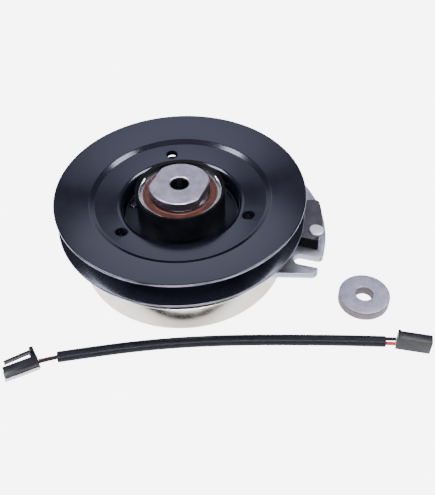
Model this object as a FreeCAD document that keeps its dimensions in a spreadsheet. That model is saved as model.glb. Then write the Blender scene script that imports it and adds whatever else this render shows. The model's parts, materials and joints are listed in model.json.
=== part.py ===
import FreeCAD, Part
import math
import os
import re
import Sketcher

# Electromagnetic clutch with a belt pulley. Millimetres, +Z up towards the bolt face.
# The origin is on the shaft's axis, in the plane that the clutch stands on.

doc = FreeCAD.newDocument("ElectromagneticClutch")
Vector = FreeCAD.Vector
upright = FreeCAD.Rotation()

# Driving dimensions

sizes = {
    # belt pulley, two pressed halves back to back
    "rimRadius": 82.5,
    "rimTop": 59.7,
    "rimSpacing": 20.8,
    "sheet": 2.0,
    "rimRoll": 0.8,
    "flankDrop": 5.3,
    "flankFoot": 60.2,
    "webEdge": 57.0,
    "webDish": 2.2,
    "wellRadius": 38.7,
    "wellRoll": 4.5,
    "wellFloor": 39.2,
    "sightHoleCircle": 47.4,
    "sightHoleRadius": 4.1,
    # bearing housing and its double-row bearing, 35 x 55 x 20
    "housingRadius": 29.4,
    "housingBase": 35.2,
    "housingTop": 61.0,
    "pulleyBearingOuter": 27.5,
    "pulleyBearingBase": 37.1,
    "pulleyBearingWidth": 20.0,
    "snapWire": 1.0,
    # hub
    "sleeveRadius": 17.5,
    "crankRadius": 12.7,
    "crankDepth": 53.5,
    "keyWidth": 6.35,
    "keyReach": 15.1,
    "boltRadius": 5.6,
    "hubDiscRadius": 20.05,
    "hubDiscThickness": 6.2,
    "hubDiscBase": 59.1,
    "hubFlats": 35.4,
    # rotor and armature
    "rotorRadius": 68.5,
    "rotorBase": 25.2,
    "rotorThickness": 4.5,
    "airGap": 0.5,
    "armatureRadius": 67.0,
    "armatureBore": 31.0,
    "armatureThickness": 4.0,
    # field, its bearing 35 x 62 x 14 and its torque plate
    "shellRadius": 70.7,
    "shellHeight": 22.5,
    "shellWall": 4.5,
    "shellBend": 5.0,
    "poleRadius": 36.0,
    "poleTop": 21.5,
    "fieldBearingOuter": 31.0,
    "fieldBearingWidth": 14.0,
    "shaftHole": 28.0,
    "plateThickness": 4.5,
    "plateTop": 24.7,
    "plateReach": 98.0,
    "slotWidth": 8.8,
    # brake
    "brakeThickness": 2.4,
    "brakeReach": 95.0,
    # washer and lead
    "washerRadius": 16.8,
    "washerHole": 5.6,
    "washerThickness": 7.1,
    "sleeveTubeRadius": 3.5,
}

sheet = doc.addObject("Spreadsheet::Sheet", "Sizes")
for row, (name, size) in enumerate(sizes.items(), start=1):
    sheet.set("A" + str(row), name)
    sheet.set("B" + str(row), str(size))
    sheet.setAlias("B" + str(row), name)
doc.recompute()

finished = []


# Helpers

def bound(formula):
    """The formula with every driving dimension read from the sheet."""
    def link(match):
        word = match.group(0)
        return "Sizes." + word if word in sizes else word
    return re.sub(r"[A-Za-z]\w*", link, str(formula))


def value(formula):
    return float(sheet.evalExpression(bound(formula)))


def finish(piece, label):
    piece.Label = label
    finished.append(piece)
    return piece


def outline(sketch, corners):
    """A closed outline of straight lines whose corners follow the sheet."""
    points = [Vector(value(x), value(y), 0) for x, y in corners]
    count = len(points)
    for index in range(count):
        sketch.addGeometry(Part.LineSegment(points[index], points[(index + 1) % count]))
    for index in range(count):
        sketch.addConstraint(Sketcher.Constraint("Coincident", index, 2, (index + 1) % count, 1))
    for index, (x, y) in enumerate(corners):
        for kind, formula in (("DistanceX", x), ("DistanceY", y)):
            size = value(formula)
            place = sketch.addConstraint(Sketcher.Constraint(kind, -1, 1, index, 1, size))
            if re.search("[A-Za-z]", str(formula)):
                sketch.setExpression("Constraints[%d]" % place, bound(formula))


def turned(label, corners, rounds=()):
    """A body turned about the axis from an outline of radius and height pairs."""
    body = doc.addObject("PartDesign::Body", "Turned")
    sketch = body.newObject("Sketcher::SketchObject", "Section")
    plane = [item for item in body.Origin.OriginFeatures if item.Role == "XZ_Plane"][0]
    sketch.AttachmentSupport = [(plane, "")]
    sketch.MapMode = "FlatFace"
    outline(sketch, corners)
    turn = body.newObject("PartDesign::Revolution", "Turn")
    turn.Profile = sketch
    turn.ReferenceAxis = (sketch, ["V_Axis"])
    turn.Angle = 360
    body.Tip = turn
    doc.recompute()
    last = turn
    for radius, height, bend in rounds:
        edges = circles(last.Shape, value(radius), value(height))
        fillet = body.newObject("PartDesign::Fillet", "Bend")
        fillet.Base = (last, edges)
        fillet.Radius = value(bend)
        fillet.setExpression("Radius", bound(bend))
        body.Tip = fillet
        last = fillet
        doc.recompute()
        if not fillet.isValid():
            raise RuntimeError("%s has no bend at %s, %s, %s" % (label, radius, height, fillet.getStatusString()))
    body.Label = label
    return body


def circles(shape, radius, height):
    """The names of the circular edges about the axis at one radius and height."""
    names = []
    for index, edge in enumerate(shape.Edges, start=1):
        if not isinstance(edge.Curve, Part.Circle):
            continue
        centre = edge.Curve.Center
        if abs(edge.Curve.Radius - radius) < 0.02 and abs(centre.z - height) < 0.02:
            names.append("Edge" + str(index))
    return names


def cylinder(radius, base, height, x="0", y="0", angle=360):
    item = doc.addObject("Part::Cylinder", "Round")
    item.setExpression("Radius", bound(radius))
    item.setExpression("Height", bound(height))
    item.Angle = angle
    item.setExpression("Placement.Base.x", bound(x))
    item.setExpression("Placement.Base.y", bound(y))
    item.setExpression("Placement.Base.z", bound(base))
    return item


def block(corner, lengths, turn=0.0):
    """A box from its lowest corner, turned about the axis by some degrees."""
    item = doc.addObject("Part::Box", "Block")
    for name, formula in zip(("Length", "Width", "Height"), lengths):
        item.setExpression(name, bound(formula))
    spin = FreeCAD.Rotation(Vector(0, 0, 1), turn)
    start = Vector(*[value(formula) for formula in corner])
    item.Placement = FreeCAD.Placement(spin.multVec(start), spin)
    return item


def prism(corners, base, height):
    """An upright prism on an outline of straight lines."""
    sketch = doc.addObject("Sketcher::SketchObject", "Plan")
    outline(sketch, corners)
    solid = doc.addObject("Part::Extrusion", "Prism")
    solid.Base = sketch
    solid.DirMode = "Custom"
    solid.Dir = Vector(0, 0, 1)
    solid.Solid = True
    solid.setExpression("LengthFwd", bound(height))
    solid.setExpression("Placement.Base.z", bound(base))
    return solid


def cut(base, tool):
    item = doc.addObject("Part::Cut", "Cut")
    item.Base = base
    item.Tool = tool
    return item


def fuse(items):
    items = list(items)
    if len(items) == 1:
        return items[0]
    item = doc.addObject("Part::MultiFuse", "Join")
    item.Shapes = items
    return item


def common(items):
    item = doc.addObject("Part::MultiCommon", "Overlap")
    item.Shapes = list(items)
    return item


def group(items):
    item = doc.addObject("Part::Compound", "Group")
    item.Links = list(items)
    return item


def softened(piece, size, wanted, kind="Part::Chamfer"):
    """The piece with the edges that pass a test chamfered or rounded."""
    doc.recompute()
    item = doc.addObject(kind, "Softened")
    item.Base = piece
    edges = piece.Shape.Edges
    item.Edges = [(number, size, size) for number, edge in enumerate(edges, start=1) if wanted(edge)]
    return item


def uprightEdge(beyond, low, high):
    """A test for upright straight edges past one X and between two Y values."""
    def wanted(edge):
        ends = [vertex.Point for vertex in edge.Vertexes]
        if len(ends) != 2 or (ends[0] - ends[1]).cross(Vector(0, 0, 1)).Length > 0.01:
            return False
        return ends[0].x > beyond and low < ends[0].y < high
    return wanted


def around(count, start=0.0):
    """Equal steps round the axis, in degrees."""
    return [start + 360.0 * step / count for step in range(count)]


def polar(radius, angle):
    turn = math.radians(angle)
    return radius * math.cos(turn), radius * math.sin(turn)


def pegs(radius, base, height, circle, angles):
    """Upright cylinders on a circle, one for each angle."""
    items = []
    for angle in angles:
        along = "%s * cos(%s deg)" % (circle, angle)
        across = "%s * sin(%s deg)" % (circle, angle)
        items.append(cylinder(radius, base, height, along, across))
    return items


def arcSlots(inner, outer, base, height, angles, sweep):
    """Curved slots between two radii, as tools for a cut."""
    slots = []
    for angle in angles:
        wide = cylinder(outer, base, height, angle=sweep)
        narrow = cylinder(inner, base, height, angle=sweep)
        slot = cut(wide, narrow)
        slot.Placement = FreeCAD.Placement(Vector(), FreeCAD.Rotation(Vector(0, 0, 1), angle - sweep / 2))
        slots.append(slot)
    return fuse(slots)


# Field: the coil's shell, its bearing seat and the torque plate

def fieldShell():
    groove = "shellWall + fieldBearingWidth"
    corners = [
        ("shaftHole", "0"),
        ("shellRadius", "0"),
        ("shellRadius", "shellHeight"),
        ("shellRadius - shellWall", "shellHeight"),
        ("shellRadius - shellWall", "shellWall"),
        ("poleRadius", "shellWall"),
        ("poleRadius", "poleTop"),
        ("fieldBearingOuter", "poleTop"),
        ("fieldBearingOuter", groove + " + 1.7"),
        ("fieldBearingOuter + 1.2", groove + " + 1.7"),
        ("fieldBearingOuter + 1.2", groove + " + 0.2"),
        ("fieldBearingOuter", groove + " + 0.2"),
        ("fieldBearingOuter", "shellWall"),
        ("shaftHole", "shellWall"),
    ]
    rounds = [
        ("shellRadius", "0", "shellBend"),
        ("shellRadius", "shellHeight", "0.8"),
        ("shellRadius - shellWall", "shellWall", "2"),
    ]
    finish(turned("field_shell", corners, rounds), "field_shell")


def coil():
    low = "shellWall + 0.5"
    high = "poleTop - 1.5"
    inner = "poleRadius + 1.5"
    outer = "shellRadius - shellWall - 2.2"
    bobbin = turned("coil_bobbin", [
        (inner, low),
        (outer, low),
        (outer, low + " + 1.4"),
        (inner + " + 1.4", low + " + 1.4"),
        (inner + " + 1.4", high + " - 1.4"),
        (outer, high + " - 1.4"),
        (outer, high),
        (inner, high),
    ])
    finish(bobbin, "coil_bobbin")
    winding = turned("coil_winding", [
        (inner + " + 1.4", low + " + 1.4"),
        (outer + " - 1.2", low + " + 1.4"),
        (outer + " - 1.2", high + " - 1.4"),
        (inner + " + 1.4", high + " - 1.4"),
    ])
    finish(winding, "coil_winding")
    potting = turned("coil_potting", [
        ("poleRadius", "poleTop - 1.5"),
        ("shellRadius - shellWall", "poleTop - 1.5"),
        ("shellRadius - shellWall", "poleTop"),
        ("poleRadius", "poleTop"),
    ])
    finish(potting, "coil_potting")


def torquePlate():
    """An arm welded round the shell's mouth, with a slot open at its outer end."""
    base = "plateTop - plateThickness"
    arm = prism([
        ("44", "-46.7"),
        ("57", "-48.5"),
        ("84.4", "-52.3"),
        ("105", "-55.2"),
        ("105", "60"),
        ("30", "60"),
    ], base, "plateThickness")
    disc = cylinder("plateReach", base, "plateThickness")
    blank = cut(common([arm, disc]), cylinder("shellRadius", base, "plateThickness"))
    inner = Vector(75.5, -38.3, 0)
    heading = -21.5
    slot = block(("0", "0", "0"), ("40", "slotWidth", "plateThickness + 2"))
    turn = FreeCAD.Rotation(Vector(0, 0, 1), heading)
    side = turn.multVec(Vector(0, -sizes["slotWidth"] / 2, 0))
    slot.Placement = FreeCAD.Placement(inner + side + Vector(0, 0, value(base) - 1), turn)
    nose = cylinder("slotWidth / 2", base + " - 1", "plateThickness + 2", str(inner.x), str(inner.y))
    rivets = [cylinder("2.6", base + " - 1", "plateThickness + 2", str(x), str(y)) for x, y in rivetSpots]
    body = cut(blank, fuse([slot, nose] + rivets))

    for size, low, high in ((4.0, -60, -50), (1.4, -50, -43.5), (3.5, -42, -37)):
        body = softened(body, size, uprightEdge(82, low, high), "Part::Fillet")
    finish(body, "torque_plate")
    bead = turned("weld_ring", [
        ("shellRadius", base),
        ("shellRadius", base + " - 2.2"),
        ("shellRadius + 2.2", base),
    ])
    bead = cut(bead, cylinder("shellRadius", "0", "60"))
    sector = cylinder("shellRadius + 4", "10", "20", angle=74)
    sector.Placement = FreeCAD.Placement(Vector(0, 0, 10), FreeCAD.Rotation(Vector(0, 0, 1), -36))
    finish(common([bead, sector]), "torque_plate_weld")


# Brake: a block and a friction plate riveted to the torque plate, over the armature's edge

rivetSpots = [(87.5, -24.8), (76.5, -5.0)]
brakeBase = "rotorBase + rotorThickness + airGap + armatureThickness + 0.1"


def brakeSector(reach, inner, front, back, base, height):
    """A flat piece between two radii and two side lines."""
    side = prism([
        ("55", str(front[0])),
        ("100", str(front[1])),
        ("100", str(back[1])),
        ("55", str(back[0])),
    ], base, height)
    disc = cylinder(reach, base, height)
    return cut(common([side, disc]), cylinder(inner, base, height))


def brake():
    spacer = brakeSector("brakeReach - 1.6", "71.5", (-17.5, -36.0), (7.0, 2.8),
                         "plateTop", brakeBase + " - plateTop - 0.6")
    holes = [cylinder("2.6", "plateTop", "15", str(x), str(y)) for x, y in rivetSpots]
    finish(cut(spacer, fuse(holes)), "brake_spacer")
    shim = brakeSector("brakeReach - 1.6", "71.5", (-17.5, -36.0), (7.0, 2.8), brakeBase + " - 0.6", "0.6")
    holes = [cylinder("2.6", "plateTop", "15", str(x), str(y)) for x, y in rivetSpots]
    finish(cut(shim, fuse(holes)), "brake_shim")
    plate = brakeSector("brakeReach", "59", (-18.0, -37.5), (8.6, 4.4), brakeBase, "brakeThickness")
    holes = [cylinder("2.6", "plateTop", "15", str(x), str(y)) for x, y in rivetSpots]
    plate = cut(plate, fuse(holes))
    plate = softened(plate, 7.0, uprightEdge(82, -60, -10), "Part::Fillet")
    plate = softened(plate, 3.6, uprightEdge(82, -10, 30), "Part::Fillet")
    finish(plate, "brake_plate")
    top = brakeBase + " + brakeThickness"
    rivets = []
    for x, y in rivetSpots:
        shank = cylinder("2.6", "plateTop - plateThickness", "brakeThickness + 14.1 - 0.01", str(x), str(y))
        shank.setExpression("Height", bound(top + " - plateTop + plateThickness"))
        head = cylinder("4.7", top, "1.2", str(x), str(y))
        tail = cylinder("3.4", "plateTop - plateThickness - 1.4", "1.4", str(x), str(y))
        rivet = fuse([shank, head, tail])
        crown = value(top) + 1.2
        rivets.append(softened(rivet, 0.5, lambda edge: isinstance(edge.Curve, Part.Circle)
                               and edge.Curve.Radius > 4.6 and abs(edge.Curve.Center.z - crown) < 0.01,
                               "Part::Fillet"))
    finish(group(rivets), "brake_rivets")


# Ball bearings

def bearing(name, inner, outer, base, width, rows, ball, count, lipInner, lipOuter):
    """Races, seals, balls and cage of one sealed bearing, as separate pieces."""
    pitch = "(%s + %s) / 2" % (lipInner, lipOuter)
    top = "%s + %s" % (base, width)
    centres = ["%s + %s * %s" % (base, width, (2 * row + 1) / (2.0 * rows)) for row in range(rows)]
    innerRace = turned(name, [(inner, base), (lipInner, base), (lipInner, top), (inner, top)])
    outerRace = turned(name, [(lipOuter, base), (outer, base), (outer, top), (lipOuter, top)])
    tracks = []
    for centre in centres:
        track = doc.addObject("Part::Torus", "Track")
        track.setExpression("Radius1", bound(pitch))
        track.Radius2 = ball + 0.05
        track.setExpression("Placement.Base.z", bound(centre))
        tracks.append(track)
    finish(cut(innerRace, fuse(tracks)), name + "_inner_race")
    tracks = []
    for centre in centres:
        track = doc.addObject("Part::Torus", "Track")
        track.setExpression("Radius1", bound(pitch))
        track.Radius2 = ball + 0.05
        track.setExpression("Placement.Base.z", bound(centre))
        tracks.append(track)
    finish(cut(outerRace, fuse(tracks)), name + "_outer_race")
    balls = []
    cages = []
    for row, centre in enumerate(centres):
        spots = [polar(value(pitch), angle) for angle in around(count, 90.0 * row / count)]
        for x, y in spots:
            sphere = doc.addObject("Part::Sphere", "Ball")
            sphere.Radius = ball
            sphere.Placement = FreeCAD.Placement(Vector(x, y, value(centre)), upright)
            balls.append(sphere)
        hoop = turned(name, [
            (pitch + " - 0.9", "%s - %s" % (centre, ball + 0.8)),
            (pitch + " + 0.9", "%s - %s" % (centre, ball + 0.8)),
            (pitch + " + 0.9", "%s + %s" % (centre, ball + 0.8)),
            (pitch + " - 0.9", "%s + %s" % (centre, ball + 0.8)),
        ])
        pockets = []
        for x, y in spots:
            pocket = doc.addObject("Part::Cylinder", "Pocket")
            pocket.Radius = ball + 0.12
            pocket.Height = 4
            outward = Vector(x, y, 0)
            outward.normalize()
            start = Vector(x, y, value(centre)) - outward * 2
            pocket.Placement = FreeCAD.Placement(start, FreeCAD.Rotation(Vector(0, 0, 1), outward))
            pockets.append(pocket)
        cages.append(cut(hoop, fuse(pockets)))
    finish(group(balls), name + "_balls")
    finish(group(cages), name + "_cage")
    seals = []
    for low in (base + " + 0.1", top + " - 0.9"):
        seals.append(turned(name, [
            (lipInner + " + 0.15", low),
            (lipOuter, low),
            (lipOuter, low + " + 0.8"),
            (lipInner + " + 0.15", low + " + 0.8"),
        ]))
    return seals


def bearings():
    seals = bearing("field_bearing", "sleeveRadius", "fieldBearingOuter", "shellWall",
                    "fieldBearingWidth", 1, 3.9, 11, "21.4", "27.2")
    finish(group(seals), "field_bearing_seals")
    ringBase = "shellWall + fieldBearingWidth + 0.3"
    ring = turned("ring", [
        ("fieldBearingOuter - 1.9", ringBase),
        ("fieldBearingOuter + 1.1", ringBase),
        ("fieldBearingOuter + 1.1", ringBase + " + 1.3"),
        ("fieldBearingOuter - 1.9", ringBase + " + 1.3"),
    ])
    gap = block(("-4", "20", "10"), ("8", "16", "15"))
    finish(cut(ring, gap), "field_bearing_retaining_ring")
    seals = bearing("pulley_bearing", "sleeveRadius", "pulleyBearingOuter", "pulleyBearingBase",
                    "pulleyBearingWidth", 2, 2.4, 18, "19.2", "24.8")
    for seal in seals:
        doc.recompute()
    finish(group(seals), "pulley_bearing_seals")


# Hub: the keyed sleeve that the crankshaft fills, and what is pressed on it

def hub():
    collar = "pulleyBearingBase + pulleyBearingWidth"
    sleeve = turned("sleeve", [
        ("crankRadius", "0"),
        ("sleeveRadius", "0"),
        ("sleeveRadius", "shellWall - 1.5"),
        ("sleeveRadius - 0.9", "shellWall - 1.5"),
        ("sleeveRadius - 0.9", "shellWall - 0.1"),
        ("sleeveRadius", "shellWall - 0.1"),
        ("sleeveRadius", collar),
        ("sleeveRadius + 0.5", collar),
        ("sleeveRadius + 0.5", "hubDiscBase"),
        ("boltRadius", "hubDiscBase"),
        ("boltRadius", "crankDepth"),
        ("crankRadius", "crankDepth"),
    ])
    disc = cylinder("hubDiscRadius", "hubDiscBase", "hubDiscThickness")
    turn = FreeCAD.Rotation(Vector(0, 0, 1), -28.2)
    disc.Placement = FreeCAD.Placement(Vector(), turn)
    flats = block(("-hubFlats / 2", "-30", "hubDiscBase"), ("hubFlats", "60", "hubDiscThickness"), -28.2)
    disc = common([disc, flats])
    disc = cut(disc, cylinder("boltRadius", "hubDiscBase", "hubDiscThickness"))
    top = value("hubDiscBase + hubDiscThickness")
    disc = softened(disc, 0.7, lambda edge: all(abs(vertex.Point.z - top) < 0.01 for vertex in edge.Vertexes)
                    and not (isinstance(edge.Curve, Part.Circle) and edge.Curve.Radius < 8))
    sink = doc.addObject("Part::Cone", "Sink")
    sink.Radius1 = sizes["boltRadius"]
    sink.Radius2 = sizes["boltRadius"] + 1.3
    sink.Height = 1.3
    sink.Placement = FreeCAD.Placement(Vector(0, 0, top - 1.3), upright)
    key = block(("0", "-keyWidth / 2", "0"), ("keyReach", "keyWidth", "crankDepth - 8"), 0)
    finish(cut(cut(fuse([sleeve, disc]), sink), key), "hub_sleeve")
    spacer = turned("spacer", [
        ("sleeveRadius", "rotorBase + rotorThickness"),
        ("hubDiscRadius", "rotorBase + rotorThickness"),
        ("hubDiscRadius", "pulleyBearingBase"),
        ("sleeveRadius", "pulleyBearingBase"),
    ])
    finish(spacer, "hub_spacer")
    ring = turned("ring", [
        ("sleeveRadius - 0.8", "shellWall - 1.4"),
        ("sleeveRadius + 2.2", "shellWall - 1.4"),
        ("sleeveRadius + 2.2", "shellWall - 0.2"),
        ("sleeveRadius - 0.8", "shellWall - 0.2"),
    ])
    gap = block(("-3", "10", "0"), ("6", "12", "8"))
    finish(cut(ring, gap), "hub_retaining_ring")


def rotor():
    """The rotor's disc, with two rings of slots that steer the flux, and its boss."""
    boss = turned("rotor", [
        ("sleeveRadius", "shellWall + fieldBearingWidth"),
        ("24", "shellWall + fieldBearingWidth"),
        ("24", "rotorBase"),
        ("rotorRadius", "rotorBase"),
        ("rotorRadius", "rotorBase + rotorThickness"),
        ("sleeveRadius", "rotorBase + rotorThickness"),
    ], [("24", "rotorBase", "1.5")])
    inner = arcSlots("42.5", "45.5", "rotorBase - 1", "rotorThickness + 2", around(4, 0), 74)
    outer = arcSlots("57.5", "60.5", "rotorBase - 1", "rotorThickness + 2", around(4, 45), 78)
    finish(cut(cut(boss, inner), outer), "rotor_disc")


# Armature and the leaf springs that carry it

springAngles = around(3, 94.5)
springFoot = 34.0
footLead = 54.0
springLevel = "wellFloor - sheet - 0.5"


def armature():
    base = "rotorBase + rotorThickness + airGap"
    disc = turned("armature", [
        ("armatureBore", base),
        ("armatureRadius", base),
        ("armatureRadius", base + " + armatureThickness"),
        ("armatureBore", base + " + armatureThickness"),
    ])
    slots = arcSlots("51.5", "54.5", base + " - 1", "armatureThickness + 2", around(4, 20), 76)
    holes = fuse(pegs("2.5", base + " - 1", "armatureThickness + 2", "sightHoleCircle", springAngles))
    finish(cut(cut(disc, slots), holes), "armature_plate")
    top = base + " + armatureThickness"
    gap = springLevel + " - 0.1 - (" + top + ")"
    spacers = []
    for ring, hole in zip(pegs("4.2", top, gap, "sightHoleCircle", springAngles),
                          pegs("2.5", top, gap, "sightHoleCircle", springAngles)):
        spacers.append(cut(ring, hole))
    finish(group(spacers), "armature_spacers")
    reach = springLevel + " + 0.1 - (" + base + ")"
    rivets = []
    for shank, head in zip(pegs("2.5", base + " + 0.4", reach, "sightHoleCircle", springAngles),
                           pegs("3.0", springLevel + " + 0.5", "1.5", "sightHoleCircle", springAngles)):
        rivets.append(fuse([shank, head]))
    finish(group(rivets), "armature_rivets")


def leafSprings():
    """Three flat strips, each from the well's floor to the armature under a sight hole."""
    level = springLevel
    springs = []
    for angle in springAngles:
        foot = Vector(*polar(springFoot, angle - footLead), 0)
        tip = Vector(*polar(sizes["sightHoleCircle"], angle), 0)
        run = tip - foot
        heading = math.degrees(math.atan2(run.y, run.x))
        strip = block(("0", "0", "0"), (str(run.Length), "7", "0.5"))
        turn = FreeCAD.Rotation(Vector(0, 0, 1), heading)
        corner = foot + turn.multVec(Vector(0, -3.5, value(level)))
        strip.Placement = FreeCAD.Placement(corner, turn)
        parts = [strip]
        holes = []
        for spot, eye, hole in ((foot, "4.0", "2.0"), (tip, "4.5", "2.5")):
            parts.append(cylinder(eye, level, "0.5", str(spot.x), str(spot.y)))
            holes.append(cylinder(hole, level + " - 1", "3", str(spot.x), str(spot.y)))
        springs.append(cut(fuse(parts), fuse(holes)))
    finish(group(springs), "leaf_springs")
    rivets = []
    for angle in springAngles:
        x, y = polar(springFoot, angle - footLead)
        shank = cylinder("2.0", level, "sheet + 0.5", str(x), str(y))
        head = cylinder("3.4", "wellFloor", "1.4", str(x), str(y))
        tail = cylinder("3.0", level + " - 0.9", "0.9", str(x), str(y))
        rivets.append(fuse([shank, head, tail]))
    finish(group(rivets), "leaf_spring_rivets")


# Pulley

def pulley():
    """Two pressed halves, one under the other, whose web dips towards the well round the housing."""
    middle = "rimTop - rimSpacing / 2"
    outerLevel = middle + " + webDish / 2"
    innerLevel = middle + " - webDish / 2"
    inset = "(sheet * 1.03)"
    upper = turned("upper", [
        ("rimRadius", "rimTop"),
        ("flankFoot", "rimTop - flankDrop"),
        ("webEdge", outerLevel + " + sheet"),
        ("wellRadius", innerLevel + " + sheet"),
        ("wellRadius", "wellFloor"),
        ("housingRadius", "wellFloor"),
        ("housingRadius", "wellFloor - sheet"),
        ("wellRadius + sheet", "wellFloor - sheet"),
        ("wellRadius + sheet", innerLevel),
        ("webEdge + 1", outerLevel),
        ("flankFoot + 0.5", "rimTop - flankDrop - " + inset),
        ("rimRadius", "rimTop - " + inset),
    ], [
        ("rimRadius", "rimTop", "rimRoll"),
        ("rimRadius", "rimTop - " + inset, "rimRoll"),
        ("flankFoot", "rimTop - flankDrop", "2.5"),
        ("webEdge", outerLevel + " + sheet", "2"),
        ("wellRadius", innerLevel + " + sheet", "wellRoll"),
        ("wellRadius + sheet", innerLevel, "1"),
        ("wellRadius + sheet", "wellFloor - sheet", "2"),
        ("wellRadius", "wellFloor", "1.5"),
    ])
    holes = pegs("sightHoleRadius", middle + " - 4", "sheet + 8", "sightHoleCircle", springAngles)
    feet = [cylinder("2.0", "wellFloor - sheet - 1", "sheet + 2", str(x), str(y))
            for x, y in (polar(springFoot, angle - footLead) for angle in springAngles)]
    finish(cut(upper, fuse(holes + feet)), "pulley_upper_half")
    base = "rimTop - rimSpacing"
    lower = turned("lower", [
        ("rimRadius", base),
        ("rimRadius", base + " + " + inset),
        ("flankFoot + 0.5", base + " + flankDrop + " + inset),
        ("webEdge + 1", outerLevel),
        ("wellRadius + sheet + 1.1", innerLevel + " + webDish * 0.05"),
        ("wellRadius + sheet + 1.1", innerLevel + " + webDish * 0.05 - sheet"),
        ("webEdge", outerLevel + " - sheet"),
        ("flankFoot", base + " + flankDrop"),
    ], [
        ("rimRadius", base, "rimRoll"),
        ("rimRadius", base + " + " + inset, "rimRoll"),
        ("flankFoot", base + " + flankDrop", "2.5"),
        ("webEdge", outerLevel + " - sheet", "2"),
    ])
    holes = pegs("sightHoleRadius", middle + " - 6", "sheet + 8", "sightHoleCircle", springAngles)
    finish(cut(lower, fuse(holes)), "pulley_lower_half")


def housing():
    """The turned cup that holds the pulley's bearing, with a groove for the wire ring."""
    wireLevel = "pulleyBearingBase + pulleyBearingWidth + snapWire"
    body = turned("housing", [
        ("pulleyBearingOuter - 2", "housingBase"),
        ("housingRadius", "housingBase"),
        ("housingRadius", "housingTop"),
        ("housingRadius - 0.5", "housingTop"),
        ("pulleyBearingOuter + 0.7", "housingTop - 0.7"),
        ("pulleyBearingOuter", "housingTop - 1.1"),
        ("pulleyBearingOuter", "pulleyBearingBase"),
        ("pulleyBearingOuter - 2", "pulleyBearingBase"),
    ])
    seat = doc.addObject("Part::Torus", "WireSeat")
    seat.setExpression("Radius1", bound("pulleyBearingOuter - 0.3"))
    seat.setExpression("Radius2", bound("snapWire"))
    seat.setExpression("Placement.Base.z", bound(wireLevel))
    finish(cut(body, seat), "bearing_housing")
    wire = doc.addObject("Part::Torus", "Wire")
    wire.setExpression("Radius1", bound("pulleyBearingOuter - 0.3"))
    wire.setExpression("Radius2", bound("snapWire"))
    wire.Angle3 = 234.5
    doc.recompute()
    wire.Placement = FreeCAD.Placement(Vector(0, 0, value(wireLevel)), FreeCAD.Rotation(Vector(0, 0, 1), 149))
    finish(wire, "bearing_snap_ring")


# Connector on the shell, at the back, and the coil's terminals

def coilConnector():
    shell = block(("-10", "60", "4.5"), ("20", "25", "12"))
    shell = cut(shell, cylinder("shellRadius", "0", "30"))
    socket = block(("-7.5", "74", "7.0"), ("15", "12", "7"))
    slots = [block((str(side - 0.4), "70.5", "9.1"), ("0.8", "4", "2.8")) for side in (-3.5, 3.5)]
    finish(cut(shell, fuse([socket] + slots)), "coil_connector")
    blades = [block((str(side - 0.4), "shellRadius + 0.1", "9.1"), ("0.8", "11.2", "2.8")) for side in (-3.5, 3.5)]
    finish(group(blades), "coil_terminals")


# Loose pieces: the mounting washer and the adapter lead

washerSpot = (116.0, -57.5)
route = [
    (-84.1, -84.6, 3.5),
    (-58.0, -82.6, 3.5),
    (-26.6, -81.3, 3.5),
    (5.0, -81.9, 3.5),
    (36.6, -84.2, 3.5),
    (68.0, -87.5, 3.5),
    (99.2, -91.2, 3.5),
    (120.7, -94.3, 3.5),
]


def washer():
    x, y = (str(place) for place in washerSpot)
    disc = cut(cylinder("washerRadius", "0", "washerThickness", x, y),
               cylinder("washerHole", "-1", "washerThickness + 2", x, y))
    item = softened(disc, 0.6, lambda edge: isinstance(edge.Curve, Part.Circle) and edge.Curve.Radius > 10)
    finish(item, "mounting_washer")


def roundedRoute(points):
    """Straight runs joined by tangent arcs, as one wire, and the arcs' radii."""
    places = [Vector(*point) for point in points]
    edges = []
    radii = []
    start = places[0]
    for before, corner, after in zip(places, places[1:], places[2:]):
        back = before - corner
        ahead = after - corner
        turn = math.pi - back.getAngle(ahead)
        reach = 0.45 * min(back.Length, ahead.Length)
        radius = reach / math.tan(turn / 2)
        back.normalize()
        ahead.normalize()
        enter = corner + back * reach
        leave = corner + ahead * reach
        inward = back + ahead
        inward.normalize()
        middle = corner + inward * (radius / math.cos(turn / 2) - radius)
        edges.append(Part.LineSegment(start, enter).toShape())
        edges.append(Part.Arc(enter, middle, leave).toShape())
        radii.append(radius)
        start = leave
    edges.append(Part.LineSegment(start, places[-1]).toShape())
    return Part.Wire(edges), radii


def tubeAlong(wire, radius):
    first = wire.Edges[0]
    circle = Part.Circle(first.valueAt(first.FirstParameter), first.tangentAt(first.FirstParameter), radius)
    return wire.makePipeShell([Part.Wire([circle.toShape()])], True, False)


def leadSleeve():
    wire, radii = roundedRoute(route)
    solid = tubeAlong(wire, sizes["sleeveTubeRadius"])
    expected = math.pi * sizes["sleeveTubeRadius"] ** 2 * wire.Length
    print("lead sleeve radii", [round(radius) for radius in radii])
    print("lead sleeve length", round(wire.Length, 1), "volume ratio", round(solid.Volume / expected, 3))
    piece = doc.addObject("Part::Feature", "Sleeve")
    piece.Shape = solid
    piece.Placement = FreeCAD.Placement(Vector(), upright)
    finish(piece, "lead_sleeve")


def straightWire(start, end, radius):
    run = Vector(*end) - Vector(*start)
    item = doc.addObject("Part::Cylinder", "Wire")
    item.Radius = radius
    item.Height = run.Length
    item.Placement = FreeCAD.Placement(Vector(*start), FreeCAD.Rotation(Vector(0, 0, 1), run))
    return item


def placed(piece, spot, heading):
    piece.Placement = FreeCAD.Placement(Vector(*spot), FreeCAD.Rotation(Vector(0, 0, 1), heading))
    return piece


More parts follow.
